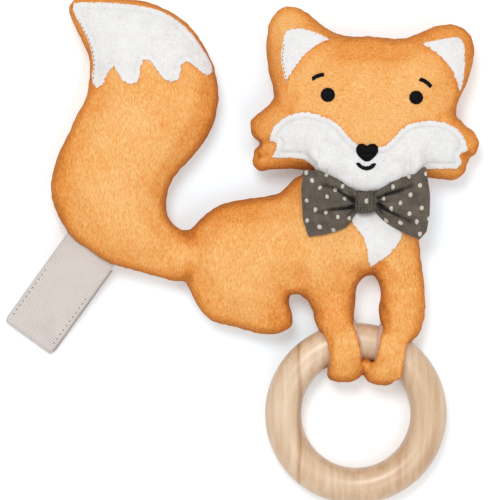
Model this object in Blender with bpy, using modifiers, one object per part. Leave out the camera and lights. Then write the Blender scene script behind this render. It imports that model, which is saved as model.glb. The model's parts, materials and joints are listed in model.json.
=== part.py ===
"""Plush fox rattle with a bow tie, a wooden teething ring in its front paws and a ribbon strap.

Lying on its back: +Z out of the front, +Y towards the ears, origin under the middle on the floor.
Dimensions are in millimetres here and go into the meshes in metres.
"""
import math

import bmesh
import bpy
import numpy as np
from mathutils import Euler, Matrix, Vector
from mathutils.bvhtree import BVHTree
from mathutils.geometry import delaunay_2d_cdt

MM = 0.001

# ---------------------------------------------------------------- driving dimensions
SEAM = 10.2            # height of the side seam above the floor
HEAD_SEAM = 11.4
WALL = 1.2             # plush fabric with its pile
GAP = 0.3              # air between pieces that touch
FELT = 0.8
SOFT = 9.0             # how far the stuffing takes to reach full thickness
BODY_RISE, TAIL_RISE, HEAD_RISE, PAW_RISE = 15.0, 15.0, 17.0, 25.0
BACK_RISE = 13.5
RING_R, RING_TUBE = 28.0, 7.0          # centre line and tube radius: 70 outside, 42 inside
RING_AT = (43.4, -62.5)
RING_TOP_Z = SEAM
TAIL_X = -22.5         # hinge line of the tail
LEG_Y = -23.9          # hinge line of the paws
HINGE_SLOPE = 2.6
STRAP_AT, STRAP_DIR = (-58.45, 1.15), (-0.586, -0.811)
STRAP_W, STRAP_FROM, STRAP_TO = 22.0, 1.5, 40.5
RIBBON, TAPE = 0.9, 0.8
CAPSULE_AT, CAPSULE_R, CAPSULE_L = (17.0, -5.0, 11.0), 7.5, 26.0

TAIL = [(-23.0, 7.5), (-26.0, 8.5), (-29.0, 11.5), (-30.5, 16.0), (-30.0, 21.5), (-28.5, 26.5), (-25.0, 31.5),
        (-20.5, 36.0), (-16.5, 41.0), (-13.0, 46.5), (-11.0, 52.5), (-10.0, 59.0), (-10.5, 65.0), (-11.5, 70.5),
        (-14.0, 76.0), (-17.5, 82.0), (-21.5, 87.0), (-26.5, 91.0), (-32.0, 93.5), (-38.5, 96.0), (-45.5, 97.0),
        (-55.0, 97.5), (-62.0, 97.5), (-66.0, 97.0), (-67.0, 94.0), (-66.0, 90.0), (-63.5, 85.0), (-61.0, 80.0),
        (-59.0, 75.0), (-58.5, 70.0), (-59.0, 64.0), (-60.0, 58.5), (-63.5, 52.5), (-66.5, 45.0), (-70.0, 39.0),
        (-72.0, 33.5), (-73.5, 27.5), (-73.5, 21.5), (-71.5, 15.5), (-68.5, 10.0), (-65.0, 5.0), (-60.0, 1.5),
        (-54.5, -2.5), (-49.0, -5.0), (-43.0, -6.5), (-36.0, -8.5), (-29.0, -10.0), (-23.0, -11.0)]
TORSO = [(-22.0, 7.5), (-20.0, 8.0), (-17.0, 11.0), (-13.5, 14.5), (-8.5, 17.5), (-3.0, 19.0), (4.5, 20.0),
         (11.0, 21.0), (15.0, 22.5), (17.5, 25.0), (20.0, 28.0), (22.5, 29.8), (26.0, 30.0), (30.5, 29.0),
         (35.0, 26.7), (40.0, 24.0), (44.0, 22.5), (49.5, 22.3), (54.0, 23.4), (59.0, 25.8), (63.0, 26.8),
         (66.5, 22.5), (67.0, 14.0), (67.0, 4.5), (68.0, -3.5), (69.0, -11.0), (69.5, -18.5), (69.5, -23.5),
         (52.0, -23.5), (53.5, -18.5), (53.5, -14.0), (52.0, -10.0), (50.5, -8.5), (47.0, -9.0), (44.0, -11.5),
         (42.5, -15.5), (42.5, -23.5), (27.5, -23.5), (25.5, -19.0), (22.0, -16.0), (18.5, -15.5), (16.5, -17.5),
         (17.5, -22.0), (19.0, -25.5), (18.5, -29.0), (15.5, -31.0), (11.0, -31.5), (5.5, -31.0), (0.5, -29.5),
         (-5.0, -28.0), (-11.0, -27.0), (-14.5, -24.0), (-17.5, -20.0), (-20.0, -15.0), (-22.0, -11.0)]
HEAD = [(18.0, 94.5), (22.0, 93.0), (26.0, 90.0), (29.5, 87.0), (33.0, 84.5), (37.0, 83.0), (42.0, 82.0),
        (48.5, 82.5), (55.0, 81.5), (60.5, 81.0), (64.5, 82.0), (69.0, 84.0), (73.5, 86.0), (78.5, 87.0),
        (83.0, 86.5), (86.5, 84.5), (88.5, 80.5), (88.5, 76.5), (87.5, 70.0), (85.5, 64.0), (83.0, 59.5),
        (81.5, 55.0), (82.5, 51.0), (84.5, 48.5), (88.0, 46.5), (90.5, 43.0), (90.5, 39.5), (88.0, 36.5),
        (86.0, 34.5), (85.5, 31.5), (84.0, 28.5), (81.0, 27.5), (76.5, 28.0), (71.0, 28.5), (65.5, 30.0),
        (61.0, 28.5), (56.5, 26.0), (52.0, 24.0), (47.5, 23.5), (43.0, 24.0), (38.5, 26.5), (34.0, 29.5),
        (29.5, 31.5), (24.0, 31.5), (18.0, 32.0), (12.0, 32.0), (7.0, 31.0), (4.0, 32.0), (3.5, 34.0), (5.0, 36.5),
        (3.5, 39.0), (5.5, 41.5), (4.5, 44.0), (2.5, 47.5), (3.0, 50.5), (7.0, 53.5), (10.5, 56.0), (12.5, 59.5),
        (11.5, 64.5), (10.0, 70.5), (9.5, 77.0), (9.5, 83.5), (10.5, 88.5), (13.0, 92.0), (15.5, 94.0)]
TIP = [(-64.0, 95.5), (-64.5, 93.5), (-62.5, 89.0), (-60.0, 84.5), (-58.0, 80.0), (-56.8, 76.0), (-56.3, 71.5),
       (-56.8, 67.0), (-56.5, 64.5), (-55.5, 62.5), (-54.0, 62.5), (-52.0, 64.5), (-51.0, 67.5), (-50.0, 70.0),
       (-49.0, 71.0), (-47.5, 69.5), (-46.0, 66.5), (-44.0, 64.0), (-41.5, 64.0), (-39.5, 65.0), (-39.0, 68.5),
       (-38.5, 72.0), (-37.5, 74.0), (-36.5, 74.0), (-35.0, 72.0), (-33.5, 69.5), (-31.5, 66.5), (-29.5, 65.0),
       (-27.5, 64.5), (-25.5, 66.0), (-25.0, 69.0), (-24.5, 72.0), (-23.0, 73.0), (-21.0, 71.5), (-18.5, 69.5),
       (-16.0, 67.5), (-13.8, 67.2), (-13.0, 69.0), (-13.5, 71.5), (-15.3, 75.0), (-18.5, 80.0), (-22.0, 84.5),
       (-26.5, 88.5), (-31.5, 91.5), (-37.0, 93.5), (-43.5, 94.7), (-50.5, 95.3), (-57.0, 95.7)]
EAR_L = [(16.5, 84.5), (21.5, 85.5), (26.5, 84.5), (30.5, 82.5), (33.5, 81.0), (29.0, 79.5), (25.0, 76.5),
         (21.5, 72.5), (18.5, 68.0), (16.5, 64.5), (15.5, 68.5), (14.5, 73.5), (15.0, 79.0)]
EAR_R = [(68.5, 79.5), (72.5, 80.5), (77.5, 81.5), (82.5, 82.0), (84.5, 79.5), (85.0, 74.5), (84.6, 68.0),
         (83.2, 61.5), (81.6, 65.0), (79.5, 70.0), (76.0, 74.0), (72.5, 77.0)]
MUZZLE = [(10.0, 42.5), (11.0, 46.5), (14.0, 50.0), (18.5, 52.5), (24.0, 53.5), (29.0, 52.5), (34.0, 50.5),
          (38.0, 47.0), (41.0, 43.5), (43.5, 41.0), (47.5, 40.0), (54.0, 40.5), (57.0, 43.0), (60.0, 46.5),
          (64.0, 49.0), (69.0, 50.0), (75.0, 50.0), (79.5, 48.5), (83.5, 45.5), (85.5, 41.5), (86.0, 38.0),
          (82.5, 38.0), (83.5, 35.5), (83.2, 32.2), (78.0, 31.8), (72.0, 31.8), (66.0, 32.0), (61.0, 30.4),
          (56.5, 28.0), (52.0, 26.0), (47.5, 25.4), (43.0, 26.0), (38.5, 28.5), (34.0, 31.5), (29.0, 34.0),
          (23.0, 35.5), (17.0, 36.0), (11.0, 36.0), (12.5, 39.0), (13.0, 41.5)]
CHEST = [(42.5, 15.0), (41.0, 11.5), (44.0, 8.0), (46.5, 4.0), (47.5, 0.0), (47.8, -4.0), (48.4, -6.0),
         (51.0, -4.5), (55.0, -2.0), (58.5, 1.5), (61.0, 6.5), (59.5, 13.0), (55.0, 18.0), (46.5, 18.5)]
WING_L = [(42.3, 21.0), (39.0, 24.2), (34.5, 27.3), (29.5, 29.2), (22.5, 29.4), (22.0, 25.0), (22.5, 18.5),
          (23.0, 11.5), (25.0, 5.5), (31.0, 7.0), (37.5, 9.0), (40.5, 12.0), (42.3, 15.5)]
WING_R = [(52.2, 20.5), (55.0, 22.5), (60.0, 25.8), (65.0, 27.6), (70.5, 26.2), (72.0, 20.5), (71.5, 15.0),
          (70.5, 9.0), (67.5, 4.5), (63.5, 6.5), (58.5, 10.5), (54.5, 13.0), (52.2, 15.5)]
KNOT = [(43.0, 21.3), (47.2, 21.7), (51.4, 21.2), (51.7, 18.4), (51.5, 15.2), (47.2, 14.4), (43.0, 14.7), (42.8, 18.2)]
NOSE = [(47.4, 40.2), (45.6, 41.2), (43.8, 40.4), (43.4, 38.2), (44.9, 36.0), (47.4, 34.4), (49.9, 36.0),
        (51.5, 38.2), (51.2, 40.4), (49.4, 41.2)]
MOUTH = [(43.4, 33.6), (45.0, 31.9), (47.2, 31.2), (49.4, 31.8), (50.7, 33.4), (50.0, 33.9), (48.9, 32.7),
         (47.2, 32.2), (45.4, 32.7), (44.0, 34.1)]
BROW_L = [(26.2, 66.2), (27.9, 67.5), (30.8, 68.2), (31.0, 67.3), (28.3, 66.6), (26.7, 65.5)]
BROW_R = [(67.7, 66.4), (70.3, 65.4), (72.4, 63.3), (71.6, 62.7), (69.8, 64.5), (67.4, 65.5)]
PAW_L = [(27.5, -24.3), (28.0, -28.5), (29.5, -34.5), (31.2, -40.5), (31.6, -45.5), (32.8, -48.6), (38.0, -50.0),
         (43.5, -49.3), (45.6, -46.0), (45.2, -40.5), (44.0, -34.5), (43.2, -28.5), (43.0, -24.3)]
PAW_R = [(52.0, -24.3), (52.8, -28.5), (53.2, -33.5), (50.5, -39.5), (47.4, -43.0), (46.8, -47.0), (48.6, -50.3),
         (53.5, -51.2), (58.0, -51.0), (60.2, -47.5), (62.3, -41.0), (65.5, -34.5), (68.2, -28.5), (69.6, -24.3)]
EYE_L, EYE_R, EYE_SIZE = (32.4, 59.9), (66.2, 58.9), 2.7


# ---------------------------------------------------------------- scene and materials
for old in list(bpy.data.objects):
    bpy.data.objects.remove(old, do_unlink=True)
for old in list(bpy.data.collections):
    bpy.data.collections.remove(old)
toy = bpy.data.collections.new("fox_ring_rattle")
cutters = bpy.data.collections.new("cutters")
bpy.context.scene.collection.children.link(toy)
bpy.context.scene.collection.children.link(cutters)


def material(name, colour, rough=0.9):
    m = bpy.data.materials.new(name)
    m.use_nodes = True
    b = m.node_tree.nodes["Principled BSDF"]
    b.inputs["Base Color"].default_value = (*[(c / 255) ** 2.2 for c in colour], 1)
    b.inputs["Roughness"].default_value = rough
    return m


def colour_of(name):
    table = (("wooden", "wood", (222, 184, 150), 0.4), ("capsule", "capsule_plastic", (205, 210, 214), 0.35),
             ("bead", "bead_steel", (150, 150, 155), 0.3), ("bow", "bow_cotton", (104, 99, 91), 0.9),
             ("chest", "white_felt", (238, 236, 233), 0.95), ("patch", "white_felt", (238, 236, 233), 0.95),
             ("eye", "black_thread", (28, 24, 24), 0.5), ("brow", "black_thread", (28, 24, 24), 0.5),
             ("nose", "black_thread", (28, 24, 24), 0.5), ("mouth", "black_thread", (28, 24, 24), 0.5),
             ("lining", "beige_lining", (232, 190, 166), 0.9), ("tape", "tape_nylon", (225, 220, 214), 0.8),
             ("leaf", "ribbon", (216, 208, 203), 0.8), ("filling", "polyester_wadding", (240, 240, 240), 1.0))
    for key, mat, rgb, rough in table:
        if key in name:
            return mat, rgb, rough
    return "orange_plush", (246, 160, 84), 0.95


def dress(ob, collection=toy):
    for c in list(ob.users_collection):
        c.objects.unlink(ob)
    collection.objects.link(ob)
    if collection is cutters:
        ob.hide_render, ob.display_type = True, "WIRE"
        return ob
    _, rgb, rough = colour_of(ob.name)
    ob.data.materials.clear()
    ob.data.materials.append(material(ob.name, rgb, rough))
    return ob


def made(name, verts, faces):
    me = bpy.data.meshes.new(name)
    me.from_pydata([Vector(v) * MM for v in verts], [], faces)
    ob = bpy.data.objects.new(name, me)
    toy.objects.link(ob)
    return dress(ob)


def latest(name, collection=toy):
    ob = bpy.context.object
    ob.name = ob.data.name = name
    return dress(ob, collection)


def settle(ob):
    """Apply the object's modifiers and transform, so the mesh is what is seen."""
    dg = bpy.context.evaluated_depsgraph_get()
    me = bpy.data.meshes.new_from_object(ob.evaluated_get(dg))
    me.name = ob.name
    ob.modifiers.clear()
    ob.data = me
    me.transform(ob.matrix_world)
    ob.matrix_world = Matrix()
    return ob


def cut(ob, tool, how="DIFFERENCE"):
    m = ob.modifiers.new("cut", "BOOLEAN")
    m.operation, m.solver, m.object = how, "EXACT", tool
    return settle(ob)


# ---------------------------------------------------------------- plan geometry
def loop_through(pts, step):
    """Closed smooth curve through the points, sampled evenly, anticlockwise."""
    p = np.array(pts, float)
    x, y = p.T
    if (x * np.roll(y, -1) - y * np.roll(x, -1)).sum() < 0:
        p = p[::-1]
    t = np.linspace(0, 1, 10, endpoint=False)[:, None]
    out = []
    for i in range(len(p)):
        a, b, c, d = p[i - 1], p[i], p[(i + 1) % len(p)], p[(i + 2) % len(p)]
        out.append(0.5 * (2 * b + (c - a) * t + (2 * a - 5 * b + 4 * c - d) * t ** 2 + (3 * b - a - 3 * c + d) * t ** 3))
    q = np.vstack(out)
    q = np.vstack([q, q[:1]])
    s = np.r_[0, np.cumsum(np.hypot(*np.diff(q, axis=0).T))]
    at = np.linspace(0, s[-1], max(8, int(round(s[-1] / step))), endpoint=False)
    return np.c_[np.interp(at, s, q[:, 0]), np.interp(at, s, q[:, 1])]


def distance(pts, loop):
    a, d = loop, np.roll(loop, -1, 0) - loop
    t = np.clip(((pts[:, None] - a) * d).sum(2) / (d * d).sum(1), 0, 1)
    return np.sqrt(((pts[:, None] - a - t[..., None] * d) ** 2).sum(2)).min(1)


def inside(pts, loop):
    x, y = pts[:, :1], pts[:, 1:]
    a, b = loop, np.roll(loop, -1, 0)
    with np.errstate(divide="ignore", invalid="ignore"):
        cross = ((a[:, 1] > y) != (b[:, 1] > y)) & (x < (b[:, 0] - a[:, 0]) * (y - a[:, 1]) / (b[:, 1] - a[:, 1]) + a[:, 0])
    return cross.sum(1) % 2 == 1


def slab(name, top, bottom, tris, weld=False):
    """Solid between two sheets over the same triangles; weld joins their edges into one seam."""
    used = np.unique(tris)
    new = {int(v): i for i, v in enumerate(used)}
    n = len(used)
    directed = {(int(a), int(b)) for t in tris for a, b in ((t[0], t[1]), (t[1], t[2]), (t[2], t[0]))}
    rim = [(a, b) for a, b in directed if (b, a) not in directed]
    low = {v: new[v] + n for v in new}
    if weld:
        for a, _ in rim:
            low[a] = new[a]
    faces = [tuple(new[int(v)] for v in t) for t in tris]
    faces += [tuple(low[int(v)] for v in t[::-1]) for t in tris]
    if not weld:
        faces += [(low[a], low[b], new[b], new[a]) for a, b in sorted(rim)]
    ob = made(name, list(top[used]) + list(bottom[used]), faces)
    bm = bmesh.new()
    bm.from_mesh(ob.data)
    bmesh.ops.delete(bm, geom=[v for v in bm.verts if not v.link_faces], context="VERTS")
    bm.to_mesh(ob.data)
    bm.free()
    return ob


class Cushion:
    """A stuffed outline: one triangulated plan shared by its panels, filling and patches."""

    def __init__(self, outline, seam, rise, marks=None, step=4.6, cell=8.0, soft=SOFT, cap=None, clamp=None,
                 back=BACK_RISE, rings=(0.7, 2.2), mark_step=3.0):
        self.seam = seam
        loop = loop_through(outline, step)
        if clamp:
            loop = np.array([clamp(*p) for p in loop])
        self.loop = loop
        self.marks = {k: loop_through(v, mark_step if len(v) > 12 else 1.6) for k, v in (marks or {}).items()}
        pts, edges = list(loop), [(i, (i + 1) % len(loop)) for i in range(len(loop))]
        for m in self.marks.values():
            k = len(pts)
            pts += list(m)
            edges += [(k + i, k + (i + 1) % len(m)) for i in range(len(m))]
        t = np.roll(loop, -1, 0) - np.roll(loop, 1, 0)
        inward = np.c_[-t[:, 1], t[:, 0]] / np.hypot(*t.T)[:, None]
        lines = list(self.marks.values())

        def offer(cands, room, clear):
            for q in cands:
                if lines and min(distance(q[None], m)[0] for m in lines) < clear:
                    continue
                if ((np.array(pts) - q) ** 2).sum(1).min() > room * room:
                    pts.append(q)

        for r in rings:
            q = loop + inward * r
            offer(q[inside(q, loop) & (distance(q, loop) > 0.85 * r)], 0.6 * min(r, 1.0) + 0.1, 0.6)
        lo, hi = loop.min(0), loop.max(0)
        grid = np.array([(x + (cell / 2 if j % 2 else 0), y) for j, y in enumerate(np.arange(lo[1], hi[1], cell * 0.866))
                         for x in np.arange(lo[0], hi[0], cell)])
        offer(grid[inside(grid, loop) & (distance(grid, loop) > rings[-1] + 0.45 * cell)], 0.55 * cell, 1.1)
        v, _, f, *_ = delaunay_2d_cdt([Vector(p) for p in pts], edges, [], 1, 1e-5)
        self.xy = np.array([tuple(p) for p in v])
        tris = np.array([tuple(t) for t in f])
        e1, e2 = self.xy[tris[:, 1]] - self.xy[tris[:, 0]], self.xy[tris[:, 2]] - self.xy[tris[:, 0]]
        area = 0.5 * (e1[:, 0] * e2[:, 1] - e1[:, 1] * e2[:, 0])
        tris[area < 0] = tris[area < 0][:, ::-1]
        self.tris = tris
        directed = {(int(a), int(b)) for t in tris for a, b in ((t[0], t[1]), (t[1], t[2]), (t[2], t[0]))}
        nxt = {a: b for a, b in directed if (b, a) not in directed}
        prv = {b: a for a, b in nxt.items()}
        self.rim = np.array(sorted(nxt))
        self.out = np.zeros((len(self.xy), 2))
        for i in nxt:
            d = self.xy[nxt[i]] - self.xy[prv[i]]
            self.out[i] = np.array([d[1], -d[0]]) / np.hypot(*d)
        self.u = self.swell(soft)
        top = rise * np.sqrt(self.u)
        low = back * np.sqrt(self.u)
        if cap:
            limit = np.array([cap(x, y, d) for (x, y), d in zip(self.xy, distance(self.xy, loop))])
            top, low = np.minimum(top, limit), np.minimum(low, limit)
        top[self.rim] = low[self.rim] = 0
        self.top = np.c_[self.xy, seam + GAP / 2 + top]
        self.low = np.c_[self.xy, np.maximum(seam - GAP / 2 - low, 0)]

    def swell(self, soft):
        """Smooth swelling, 0 at the edge and 1 deep inside."""
        n, t, p = len(self.xy), self.tris, self.xy
        a, b, c = p[t[:, 0]], p[t[:, 1]], p[t[:, 2]]
        area = 0.5 * ((b - a)[:, 0] * (c - a)[:, 1] - (b - a)[:, 1] * (c - a)[:, 0])
        g = np.stack([c - b, a - c, b - a], 1) / (2 * area)[:, None, None]
        k, m = np.zeros((n, n)), np.zeros(n)
        for i in range(3):
            np.add.at(m, t[:, i], area / 3)
            for j in range(3):
                np.add.at(k, (t[:, i], t[:, j]), soft ** 2 * area * (g[:, i] * g[:, j]).sum(1))
        k[np.arange(n), np.arange(n)] += m
        free = np.ones(n, bool)
        free[self.rim] = False
        u = np.zeros(n)
        u[free] = np.linalg.solve(k[np.ix_(free, free)], m[free])
        return np.clip(u, 0, 1)

    def shrunk(self, side, by):
        """The outer sheet moved inwards along its normals; the edge moves level."""
        p = (self.top if side > 0 else self.low).copy()
        t = self.tris
        f = np.cross(p[t[:, 1]] - p[t[:, 0]], p[t[:, 2]] - p[t[:, 0]])
        n = np.zeros_like(p)
        for i in range(3):
            np.add.at(n, t[:, i], f)
        n = side * n / np.linalg.norm(n, axis=1)[:, None]
        n[self.rim] = np.c_[self.out[self.rim], np.zeros(len(self.rim))]
        return p - n * by

    def panel(self, name, side):
        inner = self.shrunk(side, WALL)
        if side > 0:
            return slab(name, self.top, inner, self.tris)
        return slab(name, inner, self.low, self.tris)

    def filling(self, name):
        by = WALL + GAP + 0.05
        top, low = self.shrunk(1, by), self.shrunk(-1, by)
        top[self.rim, 2] = self.seam
        return slab(name, top, low, self.tris, weld=True)

    def patch(self, name, mark, lift, thick):
        mid = self.xy[self.tris].mean(1)
        t = self.tris[inside(mid, self.marks[mark])]
        return slab(name, self.top + [0, 0, lift + thick], self.top + [0, 0, lift], t)

    def height(self, side=1):
        p = (self.top if side > 0 else self.low) * MM
        return BVHTree.FromPolygons([Vector(q) for q in p], [tuple(int(i) for i in t) for t in self.tris])


def pad(name, outline, under, lift, floor_z, thin, thick, soft, step=3.0, cell=4.0):
    """Small stuffed pad lying on the surface below it."""
    c = Cushion(outline, 0, thick, step=step, cell=cell, soft=soft, rings=(1.0,))
    base = []
    for x, y in c.xy:
        hit = under.ray_cast(Vector((x, y, 100)) * MM, Vector((0, 0, -1)))[0]
        base.append(max(floor_z, (hit.z / MM if hit else 0) + lift))
    base = np.array(base)
    bulge = thin + thick * np.sqrt(c.u)
    bulge[c.rim] = thin
    return slab(name, np.c_[c.xy, base + bulge], np.c_[c.xy, base], c.tris)


# ---------------------------------------------------------------- tail
def tail_clamp(x, y):
    return (min(x, TAIL_X - 0.4), y) if y < 10 else (x, y)


tail = Cushion(TAIL, SEAM, TAIL_RISE, {"tip": TIP}, clamp=tail_clamp,
               cap=lambda x, y, d: (TAIL_X - x) * HINGE_SLOPE if y < 12 and x < TAIL_X else 99)
tail.panel("tail_front_panel", 1)
tail.panel("tail_back_panel", -1)
tail.filling("tail_filling")
tail.patch("tail_tip_patch", "tip", GAP + 0.05, FELT)


# ---------------------------------------------------------------- torso
def torso_clamp(x, y):
    x = max(x, TAIL_X + 0.4)
    return (x, max(y, LEG_Y + 0.4)) if x > 24 else (x, y)


def torso_cap(x, y, d):
    cap = (x - TAIL_X) * HINGE_SLOPE
    if x > 24 and y < 0:
        cap = min(cap, (y - LEG_Y) * HINGE_SLOPE)
    return min(cap, d * HINGE_SLOPE) if x > 21 and y > 12 else cap


torso = Cushion(TORSO, SEAM, BODY_RISE, {"chest": CHEST}, clamp=torso_clamp, cap=torso_cap)
torso.panel("body_front_panel", 1)
torso.panel("body_back_panel", -1)
stuffing = torso.filling("body_filling")
torso.patch("chest_patch", "chest", GAP + 0.05, FELT)

front = torso.height()
for name, outline in (("bow_tie_left_wing", WING_L), ("bow_tie_right_wing", WING_R)):
    pad(name, outline, front, 1.9, SEAM + 9.0, 1.2, 5.6, 4.5)
pad("bow_tie_knot", KNOT, front, 1.9, SEAM + 9.0, 3.4, 3.4, 2.0, step=1.9, cell=2.4)


# ---------------------------------------------------------------- rattle capsule and beads
def rod(name, radius, length, at, collection=cutters, sides=28):
    bpy.ops.mesh.primitive_cylinder_add(vertices=sides, radius=radius * MM, depth=length * MM,
                                        location=Vector(at) * MM, rotation=(0, math.pi / 2, 0))
    return latest(name, collection)


def block(name, size, at, collection=cutters, bevel=0.0):
    bpy.ops.mesh.primitive_cube_add(size=1, location=Vector(at) * MM)
    ob = latest(name, collection)
    ob.scale = Vector(size) * MM
    settle(ob)
    if bevel:
        m = ob.modifiers.new("soft_edge", "BEVEL")
        m.width, m.segments = bevel * MM, 2
        settle(ob)
    return ob


cx, cy, cz = CAPSULE_AT
hollow = rod("capsule_hollow", CAPSULE_R - 1.2, CAPSULE_L - 2.4, CAPSULE_AT)
for name, side in (("rattle_capsule_front", 1), ("rattle_capsule_back", -1)):
    half = rod(name, CAPSULE_R, CAPSULE_L, CAPSULE_AT, toy)
    cut(half, hollow)
    away = block(name + "_cut", (60, 40, 40), (cx, cy, cz + side * (GAP / 2 - 20)))
    cut(half, away)
pocket = rod("pocket_round", CAPSULE_R + 0.4, CAPSULE_L + 0.8, CAPSULE_AT)
well = block("pocket_well", (CAPSULE_L + 0.8, 2 * CAPSULE_R + 0.8, cz + 3), (cx, cy, (cz - 3) / 2))
cut(stuffing, pocket)
cut(stuffing, well)
BEAD_R = 2.2
for i in range(3):
    bpy.ops.mesh.primitive_ico_sphere_add(subdivisions=2, radius=BEAD_R * MM,
                                          location=Vector((cx - 7 + 7 * i, cy, cz - CAPSULE_R + 1.2 + BEAD_R + 0.15)) * MM)
    latest("bead_%d" % (i + 1))

# ---------------------------------------------------------------- head
eye = [(math.cos(a) * EYE_SIZE, math.sin(a) * EYE_SIZE) for a in np.linspace(0, 2 * math.pi, 12, endpoint=False)]
marks = {"ear_l": EAR_L, "ear_r": EAR_R, "muzzle": MUZZLE, "nose": NOSE, "mouth": MOUTH, "brow_l": BROW_L,
         "brow_r": BROW_R, "eye_l": [(x + EYE_L[0], y + EYE_L[1]) for x, y in eye],
         "eye_r": [(x + EYE_R[0], y + EYE_R[1]) for x, y in eye]}
head = Cushion(HEAD, HEAD_SEAM, HEAD_RISE, marks,
               cap=lambda x, y, d: d * HINGE_SLOPE if 18 < x < 75 and y < 38 else 99)
head.panel("head_front_panel", 1)
head.panel("head_back_panel", -1)
head.filling("head_filling")
lift = GAP + 0.05
for name, mark, extra in (("left_ear_patch", "ear_l", 0), ("right_ear_patch", "ear_r", 0), ("muzzle_patch", "muzzle", 0)):
    head.patch(name, mark, lift, FELT)
for name, mark, extra in (("left_eye", "eye_l", 0), ("right_eye", "eye_r", 0), ("left_brow", "brow_l", 0),
                          ("right_brow", "brow_r", 0), ("nose", "nose", 1), ("mouth", "mouth", 1)):
    head.patch(name, mark, lift + extra * (FELT + GAP), 0.7)

# ---------------------------------------------------------------- teething ring
drop = RING_TOP_Z - RING_TUBE
TILT = math.asin(drop / (2 * RING_R))
RING_MID = (RING_AT[0], RING_AT[1], (RING_TOP_Z + RING_TUBE) / 2)


def torus(name, tube, collection, major=64, minor=16):
    bpy.ops.mesh.primitive_torus_add(major_segments=major, minor_segments=minor, major_radius=RING_R * MM,
                                     minor_radius=tube * MM, location=Vector(RING_MID) * MM, rotation=(TILT, 0, 0))
    return settle(latest(name, collection))


torus("wooden_ring", RING_TUBE, toy, 48, 14)
tunnel = torus("paw_tunnel", RING_TUBE + 1.75, cutters)
bore = torus("lining_bore", RING_TUBE + 0.4, cutters)

# ---------------------------------------------------------------- paws
for side, outline, (x0, x1, slant) in (("left", PAW_L, (30.6, 43.4, -4)), ("right", PAW_R, (51.6, 64.6, 26))):
    def paw_clamp(x, y):
        return (x, min(y, LEG_Y - 0.4))
    paw = Cushion(outline, SEAM, PAW_RISE, cap=lambda x, y, d: (LEG_Y - y) * HINGE_SLOPE, clamp=paw_clamp,
                  step=3.2, cell=4.5, back=22.0)
    for ob in (paw.panel(side + "_paw_front_panel", 1), paw.panel(side + "_paw_back_panel", -1),
               paw.filling(side + "_paw_filling")):
        cut(ob, tunnel)
    sleeve = torus(side + "_paw_lining", RING_TUBE + 1.4, toy)
    cut(sleeve, bore)
    slot = block(side + "_lining_limit", (x1 - x0, 24, 30), ((x0 + x1) / 2, -37.5 if side == "left" else -40.0, 10))
    cut(sleeve, slot, "INTERSECT")


# ---------------------------------------------------------------- strap
SLOPE = math.radians(8.3)
ux, uy = STRAP_DIR
along = Vector((ux * math.cos(SLOPE), uy * math.cos(SLOPE), -math.sin(SLOPE))).normalized()
across = Vector((-uy, ux, 0)).normalized()
up = along.cross(across)
if up.z < 0:
    across, up = -across, -up
frame = Matrix((along, across, up)).transposed().to_4x4()
frame.translation = Vector((STRAP_AT[0], STRAP_AT[1], SEAM + 0.1)) * MM


def layer(name, start, end, width, thick, z):
    """Flat strip in the strap's own frame, its middle at height z below the upper leaf."""
    ob = block(name, (end - start, width, thick), (0, 0, 0), toy)
    ob.data.transform(frame @ Matrix.Translation(Vector(((start + end) / 2, 0, z)) * MM))
    m = ob.modifiers.new("soft_edge", "BEVEL")
    m.width, m.segments = 0.25 * MM, 1
    return settle(ob)


pitch = RIBBON / 2 + GAP + TAPE / 2
layer("strap_upper_leaf", STRAP_FROM, STRAP_TO, STRAP_W, RIBBON, 0)
layer("strap_upper_tape", STRAP_FROM + 17, STRAP_TO - 3, STRAP_W - 3.5, TAPE, -pitch)
layer("strap_lower_tape", STRAP_FROM + 17, STRAP_TO - 3, STRAP_W - 3.5, TAPE, -pitch - TAPE - GAP)
layer("strap_lower_leaf", STRAP_FROM + 1.5, STRAP_TO, STRAP_W, RIBBON, -2 * pitch - TAPE - GAP)


# ---------------------------------------------------------------- how it moves
def pivot(name, at, pieces, under=None):
    """Empty on a joint's axis that carries its pieces."""
    e = bpy.data.objects.new(name, None)
    e.empty_display_size = 0.01
    toy.objects.link(e)
    e.parent = under
    e.matrix_world = Matrix.Translation(Vector(at) * MM)
    bpy.context.view_layer.update()
    for p in pieces:
        ob = bpy.data.objects[p]
        ob.parent = e
        ob.matrix_parent_inverse = e.matrix_world.inverted()
    return e


body = [o.name for o in toy.objects if o.name.startswith(("body_", "chest_", "bow_", "rattle_"))]
root = pivot("torso", (0, 0, 0), body)
tail_turn = pivot("tail_bend", (TAIL_X, -1.8, SEAM), [o.name for o in toy.objects if o.name.startswith("tail_")], root)
pivot("head_tilt", (47.5, 27.2, 10.8), [o.name for o in toy.objects if o.name.startswith("head_")] + [
    "left_ear_patch", "right_ear_patch", "muzzle_patch", "left_eye", "right_eye", "left_brow", "right_brow", "nose",
    "mouth"], root)
paws_turn = pivot("paws_swing", (48.5, LEG_Y, SEAM), [o.name for o in toy.objects if "_paw_" in o.name and o.type == "MESH"],
                  root)
pivot("ring_spin", RING_MID, ["wooden_ring"], paws_turn)
strap_turn = pivot("strap_fold", frame @ Vector((1.1 * MM, 0, 0)) / MM, ["strap_upper_leaf", "strap_upper_tape"], tail_turn)
pivot("strap_open", frame @ Vector(((STRAP_TO + 0.6) * MM, 0, -1.7 * MM)) / MM, ["strap_lower_leaf", "strap_lower_tape"],
      strap_turn)
for i in range(3):
    pivot("bead_slide_%d" % (i + 1), (cx - 7 + 7 * i, cy, cz), ["bead_%d" % (i + 1)], root)
for ob in toy.objects:
    if ob.type == "MESH":
        ob.data.shade_smooth()
        ob.data.set_sharp_from_angle(angle=math.radians(40))
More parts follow.
